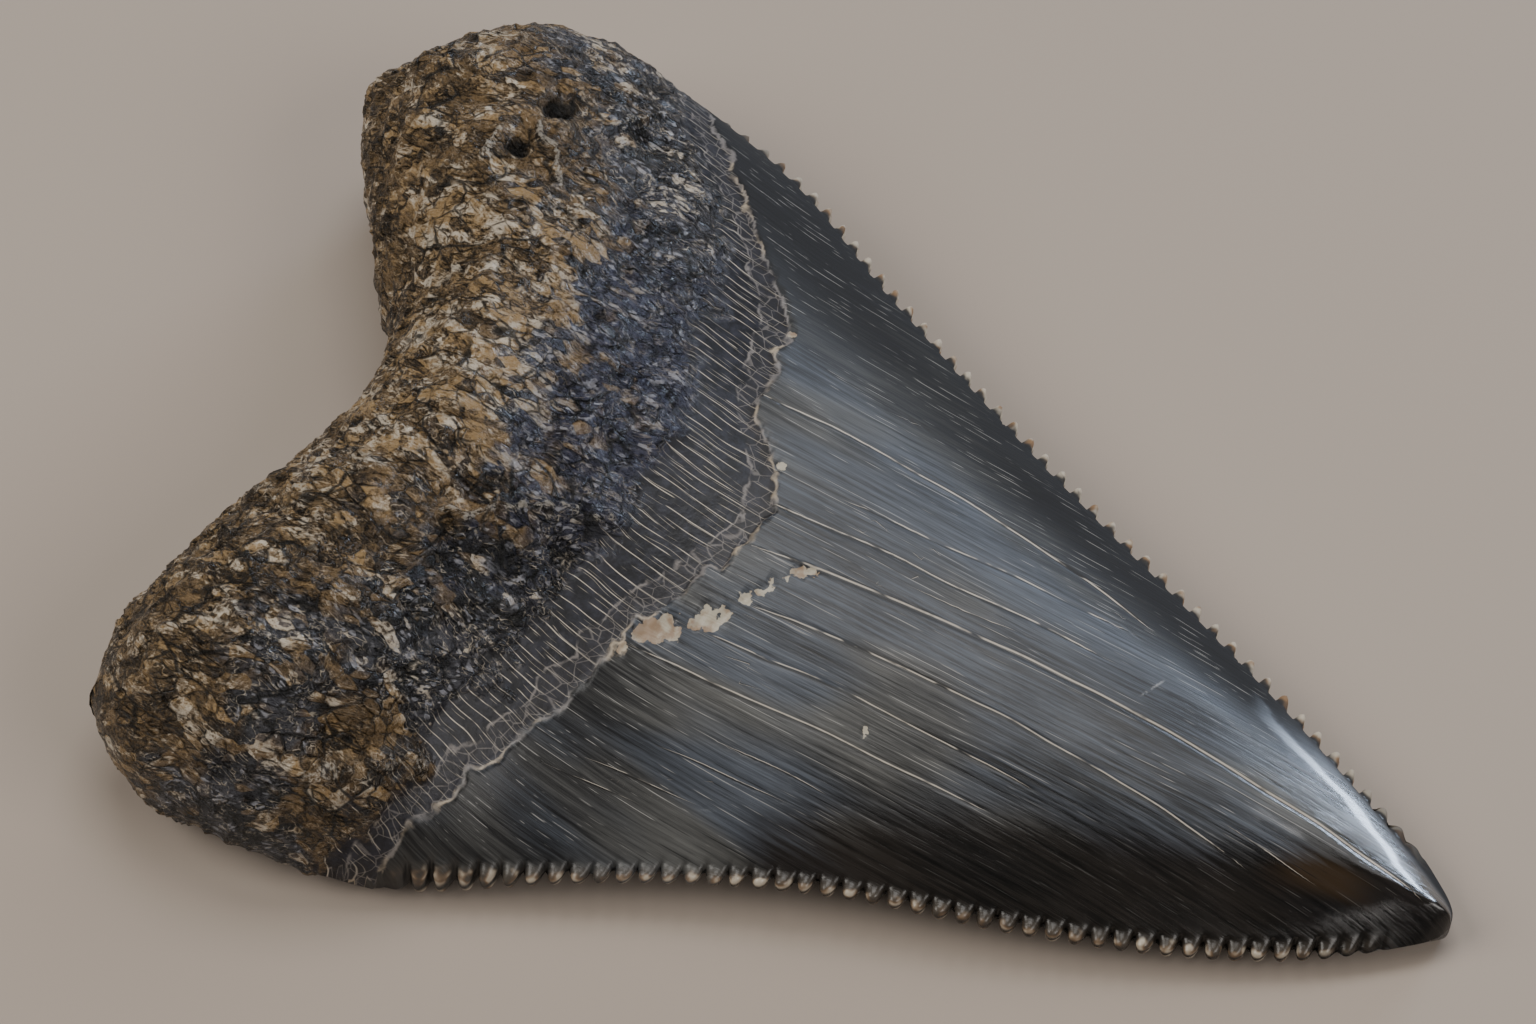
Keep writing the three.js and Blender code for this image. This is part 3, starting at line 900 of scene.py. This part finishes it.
crown_colour = (bead * 0.55).blend(crown_colour, BEAD_TINT)
# Cream and bronze on the near knobs and on the far edge's hooked teeth: partly the tips' own cream and partly
# painted highlights.
tip_cream_and_highlight = (place.noise(1.6, 1) + rim * -0.25).rise(-0.25, 0.0) * bead.rise(0.1, 0.7)
far_tip_cream_and_highlight = across.rise(0.5, 0.8) * along.rise(0.28, 0.37)
far_tip_cream_and_highlight = far_tip_cream_and_highlight * (rim + gap * 1.6 + place.noise(1.2, 1) * 1.4).rise(1.6, 0.9)
tip_cream_and_highlight = tip_cream_and_highlight.math("MAXIMUM", tip_cream_and_highlight, far_tip_cream_and_highlight)
tip_cream_and_highlight_colour = (place.noise(1.6, 1) - rim * 0.1 + across.rise(0.2, 0.5) * 0.14).rise(-0.1, 0.1)
tip_cream_and_highlight_colour = tip_cream_and_highlight_colour.blend(*TIP_CREAM_AND_HIGHLIGHT_TINTS)
crown_colour = (tip_cream_and_highlight * along.rise(0.97, 0.85) * 0.8).blend(crown_colour, tip_cream_and_highlight_colour)
scratch_x = length_place - 38.3 - (across_place - 8.2) * 0.3 + fray * 0.5
scratch = scratch_x.line(0.22) * abs(across_place - 7.9).rise(2.0, 1.2) * fray.rise(-0.1, 0.1)
crown_colour = (scratch * 0.5).blend(crown_colour, SCRATCH_TINT)
# Painted shade in the notches between the serrations.
notch_shade = (gap - across.rise(0.5, 0.8) * 0.25).rise(0.4, 0.9)
crown_colour = (notch_shade * 0.92).blend(crown_colour, NOTCH_SHADE_TINT)

colour = crown.blend(bone.blend(bourlette_colour, bone_colour), crown_colour)
colour = (seam * 0.8).blend(colour, seam_colour)
polish = along.rise(0.8, 0.9) * crown * rim.rise(1.0, 3.5)
matt = far_shade * (1 - polish) * 0.5 - brown_and_shade_mask * 0.1
bone_gloss = bone * (grain * 0.7 - 0.12)
crown_gloss = crown * (streaks * 0.3 + hairs * 0.1 + matt - 0.04)
bourlette_gloss = (1 - bone) * (1 - crown) * (0.08 + across.rise(-0.1, 0.5) * 0.4)
gloss = 0.4 + bone_gloss + crown_gloss + bourlette_gloss - polish * 0.2 - bead * 0.05

bone_bump = grain * 0.7 + plates.tone * 0.35 + slabs.tone * 0.3 - crevice * 0.3
smooth_bump = crown * streaks * 0.06 + (1 - crown) * fray * 0.12
bone_share = 1 - (from_bourlette + fray * 3).rise(-2.5, 0.8)
height = bone_share * bone_bump + (1 - bone_share) * smooth_bump
bump = place.node("ShaderNodeBump", {"Height": height, "Distance": 1.0 * MM}, "Normal")
varying = {"Base Color": colour, "Roughness": gloss, "Normal": bump, "Coat Weight": polish * 0.7}
for name, value in varying.items():
    fossil.node_tree.links.new(value.socket, shader.inputs[name])
shader.inputs["Coat Roughness"].default_value = 0.1
shader.inputs["Specular IOR Level"].default_value = 0.4
tooth.data.materials.append(fossil)
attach(tooth, "root")
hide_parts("tooth")

low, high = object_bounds()
